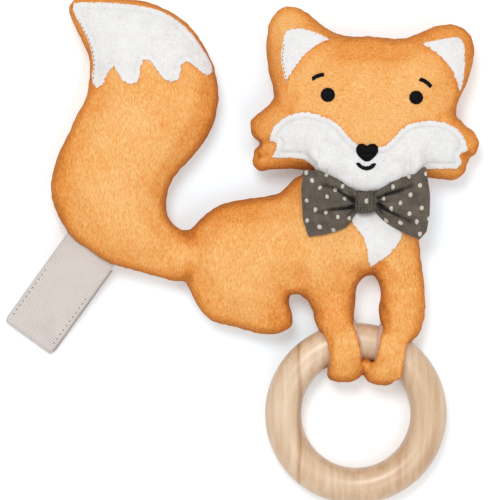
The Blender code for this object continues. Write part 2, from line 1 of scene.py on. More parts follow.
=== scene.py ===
# %% [markdown]
# # A plush fox rattle
# This lesson dresses a measured frame of the toy in its real skins: short-pile plush, white felt patches,
# satin stitching, a dotted cotton bow, a varnished wooden ring and a ribbed ribbon strap. The frame already
# holds every size and joint, so each piece below is made where the frame says, and most pieces are then told
# which body they ride on.

# %% Load the frame
import json
import math

import bmesh
import bpy
import numpy as np
from mathutils import Matrix, Vector, noise
from mathutils.bvhtree import BVHTree


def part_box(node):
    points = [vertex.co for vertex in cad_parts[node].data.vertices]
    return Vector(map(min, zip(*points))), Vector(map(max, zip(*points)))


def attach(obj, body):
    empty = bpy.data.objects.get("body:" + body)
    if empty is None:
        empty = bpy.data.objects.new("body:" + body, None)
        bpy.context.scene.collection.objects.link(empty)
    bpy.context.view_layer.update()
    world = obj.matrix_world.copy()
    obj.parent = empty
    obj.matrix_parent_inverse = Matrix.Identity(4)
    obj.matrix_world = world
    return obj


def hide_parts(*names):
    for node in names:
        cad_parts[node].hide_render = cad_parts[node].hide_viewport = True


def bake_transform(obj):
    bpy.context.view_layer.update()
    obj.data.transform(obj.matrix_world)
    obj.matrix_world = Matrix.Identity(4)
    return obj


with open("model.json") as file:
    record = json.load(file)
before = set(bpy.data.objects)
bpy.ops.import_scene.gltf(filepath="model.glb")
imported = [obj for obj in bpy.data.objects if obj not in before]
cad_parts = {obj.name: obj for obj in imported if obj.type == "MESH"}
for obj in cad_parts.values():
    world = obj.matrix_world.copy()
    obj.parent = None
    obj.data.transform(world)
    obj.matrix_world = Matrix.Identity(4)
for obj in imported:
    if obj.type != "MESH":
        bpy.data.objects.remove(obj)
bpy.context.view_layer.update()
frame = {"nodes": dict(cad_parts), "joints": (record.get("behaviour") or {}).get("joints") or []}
nodes = frame["nodes"]
MM = 0.001
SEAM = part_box("body_front_panel")[0][2]
HEAD_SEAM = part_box("head_front_panel")[0][2]
joints = {j["name"]: j for j in frame["joints"]}

# %% [markdown]
# ## Helpers for modelling
# Operators act on whatever is selected, so every step starts with nothing selected. A finished piece keeps its
# place in its mesh and its object at the origin, as the frame's own nodes do.


# %% Selection and modifiers
def pick(*obs):
    for o in bpy.context.selected_objects:
        o.select_set(False)
    for o in obs:
        o.select_set(True)
    bpy.context.view_layer.objects.active = obs[0]
    return obs[0]


def bake_place(ob):
    pick(ob)
    bpy.ops.object.transform_apply(location=True, rotation=True, scale=True)
    return ob


def finish_with(ob, kind, **settings):
    m = ob.modifiers.new(kind.lower(), kind)
    for key, value in settings.items():
        setattr(m, key, value)
    pick(ob)
    bpy.ops.object.modifier_apply(modifier=m.name)
    return ob


def copy_of(*names):
    """One merged mesh copied from frame nodes, which stay as they are."""
    copies = []
    for n in names:
        c = nodes[n].copy()
        c.data = nodes[n].data.copy()
        c.parent = None
        c.matrix_world = Matrix()
        c.hide_render = False
        c.hide_viewport = False
        for key in list(c.keys()):
            del c[key]
        bpy.context.scene.collection.objects.link(c)
        copies.append(c)
    ob = pick(*copies)
    if len(copies) > 1:
        bpy.ops.object.join()
    bm = bmesh.new()
    bm.from_mesh(ob.data)
    bmesh.ops.remove_doubles(bm, verts=bm.verts, dist=1e-6)
    bm.to_mesh(ob.data)
    bm.free()
    ob.data.materials.clear()
    return ob


def points(ob):
    co = np.empty(len(ob.data.vertices) * 3)
    ob.data.vertices.foreach_get("co", co)
    return co.reshape(-1, 3)


def set_points(ob, co):
    ob.data.vertices.foreach_set("co", co.ravel())
    ob.data.update()


def normals(ob):
    n = np.empty(len(ob.data.vertices) * 3)
    ob.data.vertex_normals.foreach_get("vector", n)
    return n.reshape(-1, 3)


def remesh(ob, voxel):
    ob.data.remesh_voxel_size = voxel
    pick(ob)
    bpy.ops.object.voxel_remesh()
    return ob


def face_outwards(ob):
    pick(ob)
    bpy.ops.object.mode_set(mode="EDIT")
    bpy.ops.mesh.select_all(action="SELECT")
    bpy.ops.mesh.normals_make_consistent(inside=False)
    bpy.ops.object.mode_set(mode="OBJECT")
    return ob


def triangles(ob):
    return sum(len(p.vertices) - 2 for p in ob.data.polygons)


# %% [markdown]
# ## Shader maths
# A material is easier to read as an expression than as a picture of wires, so a small class wraps a socket and
# turns +, - and * into Math nodes.


# %% Wire
class Wire:
    """A socket of a node tree that can be used in sums."""

    def __init__(self, tree, socket):
        self.tree, self.socket = tree, socket

    def node(self, kind, settings=None, outlet=0, **inputs):
        n = self.tree.nodes.new(kind)
        for key, value in (settings or {}).items():
            if key == "stops":
                ramp = n.color_ramp
                while len(ramp.elements) < len(value):
                    ramp.elements.new(0.5)
                for element, (at, colour) in zip(ramp.elements, value):
                    element.position, element.color = at, (*colour, 1)
            else:
                setattr(n, key, value)
        for key, value in inputs.items():
            name = key.replace("_", " ")
            into = n.inputs[int(key[1:])] if key[0] == "i" and key[1:].isdigit() else n.inputs[name]
            if isinstance(value, Wire):
                self.tree.links.new(value.socket, into)
            else:
                into.default_value = value
        return Wire(self.tree, n.outputs[outlet])

    def math(self, operation, other=0.0):
        return self.node("ShaderNodeMath", {"operation": operation}, i0=self, i1=other)

    def __add__(self, o):
        return self.math("ADD", o)

    __radd__ = __add__

    def __mul__(self, o):
        return self.math("MULTIPLY", o)

    __rmul__ = __mul__

    def __sub__(self, o):
        return self.math("SUBTRACT", o)

    def __rsub__(self, o):
        return (self * -1.0) + o

    def step(self, low, high):
        """0 below low, 1 above high, smooth between."""
        return self.node("ShaderNodeMapRange", {"interpolation_type": "SMOOTHSTEP"}, Value=self, From_Min=low,
                         From_Max=high)

    def noise(self, scale, detail, outlet=0, **more):
        """Cloudy values, or at outlet 1 colours, around this place."""
        return self.node("ShaderNodeTexNoise", None, outlet, Vector=self, Scale=scale, Detail=detail, **more)

    def bump(self, strength, distance):
        """This value as the height of a fine relief."""
        return self.node("ShaderNodeBump", Height=self, Strength=strength, Distance=distance)

    def ramp(self, *stops):
        """Colours, as rgb() wants them, at places from 0 to 1, for this value."""
        return self.node("ShaderNodeValToRGB", {"stops": [(at, rgb(*c)[:3]) for at, c in stops]}, Fac=self)

    def vectors(self, operation, outlet=0, **inputs):
        return self.node("ShaderNodeVectorMath", {"operation": operation}, outlet, i0=self, **inputs)

    def mix(self, a, b):
        """Colour a where this is 0, colour b where it is 1."""
        return self.node("ShaderNodeMix", {"data_type": "RGBA", "clamp_factor": True}, outlet=2, i0=self, i6=a, i7=b)


def finish_material(name, slot, rough=0.9, **fixed):
    """New material with its Principled shader; returns it with its tree's handle and its Object coordinates."""
    m = bpy.data.materials.new(name)
    m.use_nodes = True
    shader = m.node_tree.nodes["Principled BSDF"]
    shader.inputs["Roughness"].default_value = rough
    for key, value in fixed.items():
        shader.inputs[key.replace("_", " ")].default_value = value
    here = Wire(m.node_tree, None)
    m["slot"] = slot
    return m, here, shader, here.node("ShaderNodeTexCoord", outlet=3)


def stored(here, name):
    """Value that a skin keeps at its points."""
    return here.node("ShaderNodeAttribute", {"attribute_name": name}, outlet=2)


def connect(shader, **wires):
    for key, w in wires.items():
        w.tree.links.new(w.socket, shader.inputs[key.replace("_", " ")])


LAMPS = 1.27  # how bright the lamps make a white level surface


def rgb(r, g, b):
    """Colour as it should look in this light, 0 to 255, as the linear colour a shader wants."""
    return tuple(((c / 255 + 0.055) / 1.055) ** 2.4 / LAMPS if c > 10 else c / 3294.6 for c in (r, g, b)) + (1.0,)


def dress(ob, material, body=None, *stands_for):
    ob.data.materials.clear()
    ob.data.materials.append(material)
    if ob.type == "MESH":
        ob.data.shade_smooth()
    if body:
        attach(ob, body)
    if stands_for:
        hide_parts(*stands_for)
    return ob


def simple_finish(name, slot, low, high, scale, rough, bump):
    m, here, shader, place = finish_material(name, slot, rough)
    grain = place.noise(scale, 3.0)
    connect(shader, Base_Color=grain.ramp((0.3, low), (0.7, high)),
            Normal=grain.bump(bump, 0.0003))
    return m

# %% [markdown]
# ## Camera, floor and light
# The toy lies on its back under a camera that looks straight down through a long lens, on a white table with
# one large soft light above the head and a weaker one below. Near the toy the table is tinted bluish, which
# cancels the orange light that the plush throws on it, and in the window between the legs it glows: both are
# painted light.

# %% Stage
VIEW_MIDDLE = (0.0026, 0.0005)
VIEW_WIDTH = 0.1925
CAMERA_HEIGHT = 3.0
TOY_MIDDLE = 0.012  # height at which the view is VIEW_WIDTH wide
lens = bpy.data.cameras.new("long_lens")
lens.lens = lens.sensor_width * (CAMERA_HEIGHT - TOY_MIDDLE) / VIEW_WIDTH
lens.clip_start = 0.01
camera = bpy.data.objects.new("camera", lens)
camera.location = (*VIEW_MIDDLE, CAMERA_HEIGHT)
bpy.context.scene.collection.objects.link(camera)
bpy.context.scene.camera = camera
bpy.context.scene.view_settings.view_transform = "Standard"

bpy.ops.mesh.primitive_plane_add(size=4)
floor = bpy.context.object
floor.name = "table_top"
white, here, shader, place = finish_material("white_table", "", 0.9, Emission_Strength=0.18, Specular_IOR_Level=0.1)
# Painted light: near the toy the table is tinted bluish to cancel the orange light that the plush throws on it, so its
# shadows look grey.
under_plush = place.vectors("DISTANCE", 1, i1=(0.02, 0.02, 0.0))
near = under_plush.step(0.05, 0.09).mix((0.75, 0.86, 0.93, 1), (0.84, 0.865, 0.88, 1))
# Painted light: the table glows in the window between the legs, which lifts the shade there.
window = place.vectors("DISTANCE", 1, i1=(0.0475, -0.0195, 0.0))
painted_window_light = window.step(0.005, 0.014).mix((1.9, 1.85, 1.8, 1), (1, 1, 1, 1))
connect(shader, Base_Color=under_plush.step(0.13, 0.3).mix(near, (0.93, 0.93, 0.935, 1)), Emission_Color=painted_window_light)
floor.data.materials.append(white)

world = bpy.data.worlds.new("studio")
world.use_nodes = True
world.node_tree.nodes["Background"].inputs["Color"].default_value = (1, 1, 1, 1)
world.node_tree.nodes["Background"].inputs["Strength"].default_value = 0.72
bpy.context.scene.world = world


def softbox(name, at, power, size):
    light = bpy.data.lights.new(name, "AREA")
    light.energy, light.shape, light.size = power, "DISK", size
    ob = bpy.data.objects.new(name, light)
    ob.location = at
    ob.rotation_euler = (Vector(at) * -1).to_track_quat("-Z", "Y").to_euler()
    bpy.context.scene.collection.objects.link(ob)


softbox("key_above_head", (-0.2, 0.5, 1.45), 10.4, 0.6)
softbox("fill_below", (0.5, -0.5, 1.3), 4.0, 0.8)

# %% [markdown]
# ## Plush
# The toy is sewn from short-pile plush. Its pile lies in soft streaks and brightens where it is brushed up.
# Where the fabric turns down to the seam it is painted darker and deeper in colour, as painted shade; this is
# stored on each skin as an attribute, from the slope of the cloth and the nearness of the seam. The creases are
# painted darker as well, as painted shade stored in a second attribute.

# %% Plush material
def plush_finish(name, lay_of_pile, curl):
    """lay_of_pile stretches the streaks along the way the pile is brushed, and curl winds them."""
    m, here, shader, place = finish_material(name, "orange_plush", 0.95, Specular_IOR_Level=0.12, Sheen_Weight=0.10,
                                             Sheen_Roughness=0.6, Sheen_Tint=rgb(255, 214, 160))
    turn, fold = stored(here, "turn"), stored(here, "fold")
    warp = place.noise(110.0, 2.0, 1)
    swirl = warp.vectors("MULTIPLY_ADD", i1=(curl, curl, 0.0), i2=place)
    stretched = here.node("ShaderNodeMapping", Vector=swirl, Scale=lay_of_pile)
    brushed = place.noise(70.0, 4.0, Roughness=0.6)
    streaks = stretched.noise(3400.0, 1.0, Roughness=0.5)
    tufts = stretched.noise(1750.0, 2.0, Roughness=0.6, Distortion=0.4)
    pile = streaks * 0.45 + tufts * 0.55
    # Painted shade: darker on the slopes, near the seam and in the creases.
    tone = brushed * 0.3 + pile * 1.25 - turn * 0.6 - fold * 0.12 - 0.22
    colour = tone.ramp((0.02, (196, 114, 44)), (0.25, (237, 147, 62)), (0.46, (248, 176, 99)), (0.68, (255, 204, 136)))
    fibres = (pile + brushed * 0.4).bump(0.5, 0.0006)
    connect(shader, Base_Color=colour, Normal=fibres)
    return m


plush = plush_finish("orange_plush", (1.0, 0.28, 0.6), 0.003)
curly_plush = plush_finish("orange_plush_head", (0.75, 0.75, 0.7), 0.009)

# %% [markdown]
# ## Stuffed skins
# A stuffed skin is grown from the frame: the panels are copied and merged, the places where two of them meet
# get a short bridge so that the cloth runs on as on the real toy, and a voxel remesh makes one even skin.
# Then Blender's cloth runs with pressure from inside, and the result is applied. So fine a skin gives very
# little, about 0.05 mm, so most of the swell is an even step outwards, and the cloth adds its unevenness.


# %% Swelling and shaping cloth
PRESSURE = 4.0
FRAMES = 14


def swell(ob, cap, free=None):
    """Stuffs the skin out to about cap, with the small unevenness of cloth under pressure from inside.

    free, where it is given, is each point's share of that.
    """
    rest = points(ob)
    m = ob.modifiers.new("stuffing", "CLOTH")
    s = m.settings
    s.use_pressure, s.uniform_pressure_force = True, PRESSURE
    s.effector_weights.gravity = 0
    s.tension_stiffness = s.compression_stiffness = 8
    s.mass = 0.2
    m.collision_settings.use_collision = False
    m.point_cache.frame_start, m.point_cache.frame_end = 1, FRAMES
    for f in range(1, FRAMES + 1):
        bpy.context.scene.frame_set(f)
    blown = ob.evaluated_get(bpy.context.evaluated_depsgraph_get()).to_mesh()
    co = np.empty(len(blown.vertices) * 3)
    blown.vertices.foreach_get("co", co)
    ob.modifiers.remove(m)
    bpy.context.scene.frame_set(1)
    move = co.reshape(-1, 3) - rest
    size = np.linalg.norm(move, axis=1, keepdims=True)
    move *= np.minimum(1, cap / np.maximum(size, 1e-9))
    out = normals(ob)
    print(ob.name, "cloth moved out by", round(float((move * out).sum(axis=1).mean()) / MM, 2), "mm on average")
    move = move * 0.4 + out * cap * 0.8
    if free is not None:
        move *= free[:, None]
    set_points(ob, rest + move)
    return ob


def relax(ob, rounds, factor=0.5):
    return finish_with(ob, "SMOOTH", factor=factor, iterations=rounds)


def finer(ob):
    return finish_with(ob, "SUBSURF", levels=1, render_levels=1)


def bridge(at, radii):
    """Egg-shaped wadding that carries one stuffed part over into the next."""
    bpy.ops.mesh.primitive_uv_sphere_add(segments=32, ring_count=16, radius=1, location=at, scale=radii)
    return bake_place(bpy.context.object)


def smooth(x, low, high):
    t = np.clip((x - low) / (high - low), 0, 1)
    return t * t * (3 - 2 * t)


def fuse(*obs):
    ob = pick(*obs)
    bpy.ops.object.join()
    return ob


def ripple(co, scale, seed, stretch=(1, 1, 1)):
    """Smooth noise at every point, from -1 to 1."""
    k = np.array(stretch) * scale
    return np.array([noise.noise(Vector((x * k[0] + seed, y * k[1], z * k[2]))) for x, y, z in co])


def path_distance(xy, path, closed=False):
    """Distance from each point to a path seen from above, and how far along the path its nearest place is."""
    path = np.asarray(path, float)
    ends = np.roll(path, -1, axis=0) if closed else path[1:]
    starts = path if closed else path[:-1]
    near, at = np.full(len(xy), 9.0), np.zeros(len(xy))
    done, total = 0.0, np.linalg.norm(ends - starts, axis=1).sum()
    for a, b in zip(starts, ends):
        d = b - a
        t = np.clip(((xy - a) @ d) / max(d @ d, 1e-18), 0, 1)
        r = np.linalg.norm(xy - a - t[:, None] * d, axis=1)
        closer = r < near
        near[closer] = r[closer]
        length = np.linalg.norm(d)
        at[closer] = (done + t[closer] * length) / total
        done += length
    return near, at


def mark(ob, name, values):
    a = ob.data.attributes.get(name) or ob.data.attributes.new(name, "FLOAT", "POINT")
    a.data.foreach_set("value", np.asarray(values, np.float32))


def press(ob, creases, fade=0.0):
    """Presses creases into the front, each a path in millimetres with its depth and width. Returns how deep it is."""
    co, n = points(ob), normals(ob)
    depth = np.zeros(len(co))
    for path, deep, wide in creases:
        r, t = path_distance(co[:, :2], np.array(path) * MM)
        depth = np.maximum(depth, deep * MM * np.exp(-(r / (wide * MM)) ** 2) * (1 - fade * t))
    depth *= np.clip(n[:, 2] * 2, 0, 1)
    set_points(ob, co - n * depth[:, None])
    return depth


def mark_painted_shade(ob, seam, depth, tone_spots=()):
    """Stores painted shade where the cloth turns down from the front, deeper still at the seam, and in its creases.

    The given spots, places in millimetres, are made deeper in colour as well, and lighter where their share is
    negative.
    """
    n, co = normals(ob), points(ob)
    slope = np.clip(1.0 - np.abs(n[:, 2]), 0, 1) ** 0.8
    near = np.exp(-((co[:, 2] - seam) / 0.0075) ** 2) * 0.3
    for (x, y), (wide, high), share in tone_spots:
        near += share * np.exp(-((co[:, 0] / MM - x) / wide) ** 2 - ((co[:, 1] / MM - y) / high) ** 2)
    mark(ob, "turn", slope * 0.7 + near)
    mark(ob, "fold", np.clip(depth / 0.0008, 0, 1))


def sew_edge(ob, seam, seed, depth=0.0005, width=0.0007):
    """Draws the cloth in along the side seam, with the small puckers that the stitches pull beside it."""
    n, co = normals(ob), points(ob)
    side = np.clip(1.6 * (1 - np.abs(n[:, 2])) - 0.3, 0, 1)
    groove = np.exp(-((co[:, 2] - seam) / width) ** 2) * depth
    pucker = ripple(co, 420, seed, (1, 1, 0.12)) * np.exp(-((co[:, 2] - seam) / 0.0035) ** 2) * 0.00022
    set_points(ob, co - n * [1, 1, 0] * (side * (groove + pucker))[:, None])


def nap(ob, seed, depth=0.00016):
    """Fine swirls of the pile and slower lumps of the wadding."""
    co, n = points(ob), normals(ob)
    lumps = ripple(co, 75, seed) * 0.00025 + ripple(co, 190, seed + 7, (1, 1.5, 1)) * 0.00012
    fine = ripple(co, 520, seed + 3, (1, 0.6, 1)) * depth
    co += n * (lumps + fine)[:, None]
    co[:, 2] = np.maximum(co[:, 2], 0.0001)  # it lies on the table
    set_points(ob, co)


# %% [markdown]
# ## Body, tail and legs
# Torso, tail and front legs are cut in one, so they're grown as one skin. Each paw is wrapped round the ring as
# a sleeve, and the two meet at the toes. Soft creases run from the belly notch, from the tail's root and from
# the window between the legs, where the stuffing gives way.

# %% Skin of body, tail and legs
tail_at = Vector(joints["tail_bend"]["pos_m"])
legs_at = Vector(joints["paws_swing"]["pos_m"])
ring_at, ring_axis = Vector(joints["ring_spin"]["pos_m"]), Vector(joints["ring_spin"]["axis"])
RING_R, RING_TUBE = 0.028, 0.007
SKIN_VOXEL = 0.00085
SKIN_SWELL = 0.0010
stuffed = [part + "_" + half for part in ("body", "tail", "left_paw", "right_paw")
           for half in ("front_panel", "back_panel", "filling")]


def around_ring(co):
    """Place on the ring's core circle, distance from that circle and way out from it, for every point."""
    axis = np.array(ring_axis.normalized())
    r = co - np.array(ring_at)
    up = r @ axis
    flat = r - up[:, None] * axis
    core = flat / np.linalg.norm(flat, axis=1)[:, None] * RING_R
    out = r - core
    gap = np.linalg.norm(out, axis=1)
    return core, gap, out / np.maximum(gap, 1e-9)[:, None]


# Where each paw's two edges cross the ring: degrees round it from the top, at 35 and at 22 mm from its middle.
PAW_EDGES = {"left": ((-26.0, -30.8), (-1.8, 4.8)), "right": ((17.2, 15.5), (50.0, 50.8))}


def paw_wrap(side, inner, outer, more=(0.0, 0.0)):
    """A sleeve round the ring, grown from the frame's lining. outer is its radius behind and in front."""
    ob = copy_of(side + "_paw_lining")
    core, gap, out = around_ring(points(ob))
    grown = np.where(gap < 0.0079, inner, outer[0] + (outer[1] - outer[0]) * (1 + out[:, 2]) / 2)
    angle = np.degrees(np.arctan2(core[:, 0], core[:, 1]))
    share = (angle - angle.min()) / (angle.max() - angle.min())
    co = core + out * grown[:, None]
    inwards = np.clip((0.035 - np.hypot(co[:, 0], co[:, 1])) / 0.013, -0.4, 1.4)
    (left_out, left_in), (right_out, right_in) = PAW_EDGES[side]
    left = left_out + (left_in - left_out) * inwards - more[0]
    right = right_out + (right_in - right_out) * inwards + more[1]
    turn_by = -np.radians(left + (right - left) * share - angle)
    c, sn = np.cos(turn_by), np.sin(turn_by)
    axis = np.array(ring_axis.normalized())
    cross = np.cross(axis, co)
    along_axis = (co @ axis)[:, None] * axis
    co = co * c[:, None] + cross * sn[:, None] * np.sign(axis[2]) + along_axis * (1 - c)[:, None]
    set_points(ob, np.array(ring_at) + co)
    return ob


skin = fuse(copy_of(*stuffed), paw_wrap("left", 0.0083, (0.0096, 0.0118)), paw_wrap("right", 0.0083, (0.0096, 0.0118)),
            bridge((tail_at.x, -0.0018, SEAM), (0.013, 0.0092, 0.0086)),
            bridge((0.0352, legs_at.y, SEAM + 0.0002), (0.0071, 0.013, 0.0086)),
            bridge((0.0608, legs_at.y, SEAM + 0.0002), (0.0082, 0.013, 0.0088)),
            bridge((0.0463, -0.0434, ring_at.z + 0.001), (0.0036, 0.0032, 0.0076)))
remesh(skin, SKIN_VOXEL)
relax(skin, 12)


def clear_of_ring(ob):
    """0 beside the ring, where the cloth has no room, and 1 a few millimetres away."""
    return np.clip((around_ring(points(ob))[1] - 0.009) / 0.003, 0, 1)


swell(skin, SKIN_SWELL, clear_of_ring(skin))
relax(skin, 4)
knee = skin.vertex_groups.new(name="knee")
for i, (x, y, z) in enumerate(points(skin)):
    near = max(0.0, 1 - abs(y - legs_at.y + 0.001) / 0.008)
    if near > 0 and x > 0.024:
        knee.add([i], near, "REPLACE")
finish_with(skin, "SMOOTH", factor=0.7, iterations=40, vertex_group="knee")
skin.vertex_groups.clear()
BODY_CREASES = [
    ([(24.2, -16.5), (23.2, -12.4), (21.8, -9.0)], 0.6, 2.6),
    ([(16.8, -18.0), (14.8, -15.0)], 0.5, 2.2),
    ([(-22.4, 8.6), (-20.8, 6.0), (-19.4, 3.6)], 0.7, 1.6),
    ([(-22.4, -11.6), (-21.0, -8.4), (-20.2, -5.8)], 0.7, 1.6),
    ([(45.5, -9.0), (42.8, -7.6)], 0.5, 1.6),
    ([(51.0, -8.0), (54.0, -5.8)], 0.7, 1.4),
    ([(53.2, -21.0), (55.0, -24.5), (55.2, -30.0)], 0.5, 1.3), ([(46.2, -41.0), (46.2, -48.5)], 1.1, 0.5)]
depth = press(skin, BODY_CREASES)
relax(skin, 1)
mark_painted_shade(skin, SEAM, depth, [
    ((-1, 18), (22, 8), 0.17), ((13, -27), (8, 7), 0.17), ((36, -24), (6, 14), 0.18), ((58, -20), (7, 14), 0.06),
    ((-70, 20), (4, 26), 0.26), ((-14, 52), (5, 14), 0.16), ((-36, 62), (16, 5), 0.1), ((2, 2), (26, 14), 0.05)])
finer(skin)
sew_edge(skin, SEAM, 2.0)
nap(skin, 11.0)
print("body skin:", triangles(skin), "triangles")

# %% [markdown]
# ## Head
# The head is a second pillow, sewn on behind the bow. It's blown up the same way, with a few soft wrinkles
# across the forehead and under the ears.

# %% Skin of the head
head = copy_of("head_front_panel", "head_back_panel", "head_filling")
head.name = "head_skin"
remesh(head, SKIN_VOXEL)
relax(head, 9)
swell(head, SKIN_SWELL)
relax(head, 3)
HEAD_NIPS = [((5.4, 41.4), 1.9, 1.5), ((5.0, 36.6), 1.4, 1.2), ((86.9, 36.6), 1.2, 1.5), ((82.2, 52.2), 0.8, 2.0)]
co, n = points(head), normals(head)
for spot, deep, wide in HEAD_NIPS:
    r = np.linalg.norm(co[:, :2] - np.array(spot) * MM, axis=1)
    co -= n * [1, 1, 0] * (deep * MM * np.exp(-(r / (wide * MM)) ** 2))[:, None]
set_points(head, co)
HEAD_CREASES = [
    ([(33.5, 82.0), (29.0, 79.0), (24.5, 75.5), (19.0, 68.0)], 0.45, 1.8),
    ([(67.5, 79.5), (74.0, 76.5), (80.0, 69.0), (83.0, 62.0)], 0.45, 1.8),
    ([(12.0, 57.5), (15.0, 55.0), (18.0, 53.5)], 0.5, 1.6),
    ([(6.0, 41.4), (9.0, 42.4), (12.0, 41.8)], 0.8, 1.1), ([(5.5, 36.6), (8.5, 36.9)], 0.6, 0.9),
    ([(86.5, 36.8), (83.5, 37.6)], 0.6, 1.0),
    ([(82.0, 54.5), (79.0, 53.0), (76.5, 52.0)], 0.5, 1.6),
    ([(30.0, 77.0), (38.0, 74.0), (47.0, 75.5), (56.0, 74.0), (62.0, 76.0)], 0.2, 1.8)]
depth = press(head, HEAD_CREASES)
relax(head, 1)
mark_painted_shade(head, HEAD_SEAM, depth, [((47, 80), (34, 8), 0.16), ((47, 60), (30, 22), 0.06), ((12, 88), (10, 16), -0.22)])
finer(head)
sew_edge(head, HEAD_SEAM, 5.0)
nap(head, 23.0, 0.0002)
dress(head, curly_plush, "head", "head_front_panel", "head_back_panel", "head_filling")
print("head skin:", triangles(head), "triangles")

# %% [markdown]
# ## Felt patches
# The ear, muzzle, chest and tail patches are thin white felt, sewn down flat. Each is cut from the frame's
# patch seen from above, made an even slab, given its rounded edge and its sewn line, and then laid over the
# skin, point by point, as one smooths a patch down by hand. Two of them are also reshaped: the muzzle goes on
# over the chin, and the tail's tip reaches out to the seam.

# %% Felt material
felt, here, shader, place = finish_material("white_felt", "white_felt", 0.92, Specular_IOR_Level=0.15,
                                            Sheen_Weight=0.15)
edge, line = stored(here, "edge"), stored(here, "line")
fluff = place.noise(1100.0, 3.0, Roughness=0.65)
mottle = place.noise(180.0, 3.0, Roughness=0.6)
# Painted shade: the felt is made darker along the groove of its sewn line.
white_tone = (fluff * 0.6 + mottle * 0.4 - line * 0.16 + 0.03).ramp(
    (0.25, (218, 216, 216)), (0.5, (238, 237, 236)), (0.72, (250, 249, 247)))
ragged = place.noise(900.0, 1.5, Roughness=0.6)
fringe = (edge * 1000.0 + (ragged - 0.5) * 2.6).step(-0.05, 0.35)
colour = fringe.mix(rgb(240, 166, 92), white_tone)
bumps = (fluff * 0.7 + mottle * 0.25).bump(0.4, 0.0005)
connect(shader, Base_Color=colour, Normal=bumps)


# %% Cutting and laying
SEWN_IN = 0.0023  # how far inside a patch's edge its sewn line runs


def skin_tree(ob):
    bm = bmesh.new()
    bm.from_mesh(ob.data)
    tree = BVHTree.FromBMesh(bm)
    bm.free()
    return tree


def outline_of(ob):
    """The longest edge loop of a flat cut, in order."""
    bm = bmesh.new()
    bm.from_mesh(ob.data)
    after = {e.link_loops[0].vert: e.link_loops[0].link_loop_next.vert for e in bm.edges if e.is_boundary}
    loops = []
    while after:
        v = next(iter(after))
        walk = []
        while v in after:
            walk.append((v.co.x, v.co.y))
            v = after.pop(v)
        loops.append(walk)
    bm.free()
    return np.array(max(loops, key=len))


def cut_flat(name, node, thick, voxel):
    """A flat slab, thick from 0 up, of the frame node's shape seen from above, and its outline."""
    ob = copy_of(node)
    ob.name = name
    pick(ob)
    bpy.ops.object.mode_set(mode="EDIT")
    bpy.ops.mesh.select_mode(type="FACE")
    bpy.ops.object.mode_set(mode="OBJECT")
    for p in ob.data.polygons:
        p.select = p.normal.z < 0.25
    bpy.ops.object.mode_set(mode="EDIT")
    bpy.ops.mesh.delete(type="FACE")
    bpy.ops.mesh.select_all(action="SELECT")
    bpy.ops.transform.resize(value=(1, 1, 0))
    bpy.ops.object.mode_set(mode="OBJECT")
    set_points(ob, points(ob) * [1, 1, 0])
    outline = outline_of(ob)
    pick(ob)
    bpy.ops.object.mode_set(mode="EDIT")
    bpy.ops.mesh.select_all(action="SELECT")
    bpy.ops.mesh.extrude_region_move(TRANSFORM_OT_translate={"value": (0, 0, thick)})
    bpy.ops.object.mode_set(mode="OBJECT")
    face_outwards(ob)
    remesh(ob, voxel)
    relax(ob, 2)
    return ob, outline


def surface(trees, x, y):
    """Highest cloth under a point seen from above, with its normal eased towards straight up."""
    best = None
    for tree in trees:
        at, n, _, _ = tree.ray_cast(Vector((x, y, 0.1)), Vector((0, 0, -1)))
        if at is not None and (best is None or at.z > best[0].z):
            best = (at, n)
    if best is None:
        best = min((t.find_nearest(Vector((x, y, 0.012)))[:2] for t in trees),
                   key=lambda hit: (hit[0] - Vector((x, y, 0.012))).length)
    return best[0], (best[1] + Vector((0, 0, 0.5))).normalized()


def lay(ob, trees, sink):
    """Every point goes to the cloth below it, then out by its own height less sink."""
    co = points(ob)
    for i, (x, y, h) in enumerate(co):
        at, n = surface(trees, x, y)
        co[i] = at + n * (h - sink)
    set_points(ob, co)
    return relax(ob, 1, 0.4)


def felt_patch(name, node, body, trees, voxel=0.00042, thick=0.0013, shape=None, sewn=0.0):
    """shape may move the flat cut's edge and says how far the stuffing under the felt lifts it."""
    ob, outline = cut_flat(name, node, thick, voxel)
    co = points(ob)
    lift = 0.0
    if shape:
        outline, _ = shape(outline, 0.0)
        co[:, :2], _ = shape(co[:, :2], 0.0)
        lift = shape(co[:, :2], path_distance(co[:, :2], outline, closed=True)[0])[1]
    inside, _ = path_distance(co[:, :2], outline, closed=True)
    top = np.clip(co[:, 2] / thick * 2 - 1, 0, 1)
    groove = np.exp(-((inside - SEWN_IN) / 0.00045) ** 2)
    groove *= sewn
    puff = np.clip((inside - SEWN_IN) / 0.002, 0, 1) * sewn
    co[:, 2] += top * (0.0003 * puff - 0.00028 * groove + lift)
    set_points(ob, co)
    lay(ob, trees, 0.0005)
    mark(ob, "edge", inside)
    # The groove of the sewn line, kept for its painted shade.
    mark(ob, "line", groove)
    dress(ob, felt, body, node)
    print(name, triangles(ob), "triangles")
    return ob, outline


# %% The patches
CHIN = np.array([(22.0, 35.6), (29.0, 34.0), (34.0, 31.5), (38.5, 28.5), (43.0, 26.0), (47.5, 25.4), (52.0, 26.0),
                 (56.5, 28.0), (61.0, 30.4), (66.0, 32.0), (72.0, 31.8)]) * MM


def chin(xy, inside):
    """The muzzle's felt goes on to the head's lower edge, over a fuller chin."""
    low = np.interp(xy[:, 0], CHIN[:, 0], CHIN[:, 1])
    across = smooth(xy[:, 0], 0.023, 0.0285) * (1 - smooth(xy[:, 0], 0.067, 0.0705))
    moved = xy.copy()
    moved[:, 1] -= 0.0021 * across * np.clip((low + 0.006 - xy[:, 1]) / 0.005, 0, 1)
    full = 0.0054 * across * (1 - np.exp(-inside / 0.0012)) * smooth(low + 0.0105 - xy[:, 1], 0, 0.0095)
    return moved, full


def wider_tip(xy, inside):
    """The tail's tip is covered almost out to the seam on both sides."""
    middle = np.interp(xy[:, 1], np.array([66, 77, 87, 94]) * MM, np.array([-35, -36.6, -42, -49]) * MM)
    moved = xy.copy()
    moved[:, 0] += 0.0011 * np.clip((xy[:, 0] - middle) / 0.012, -1, 1)
    return moved, 0.0 * xy[:, 0]


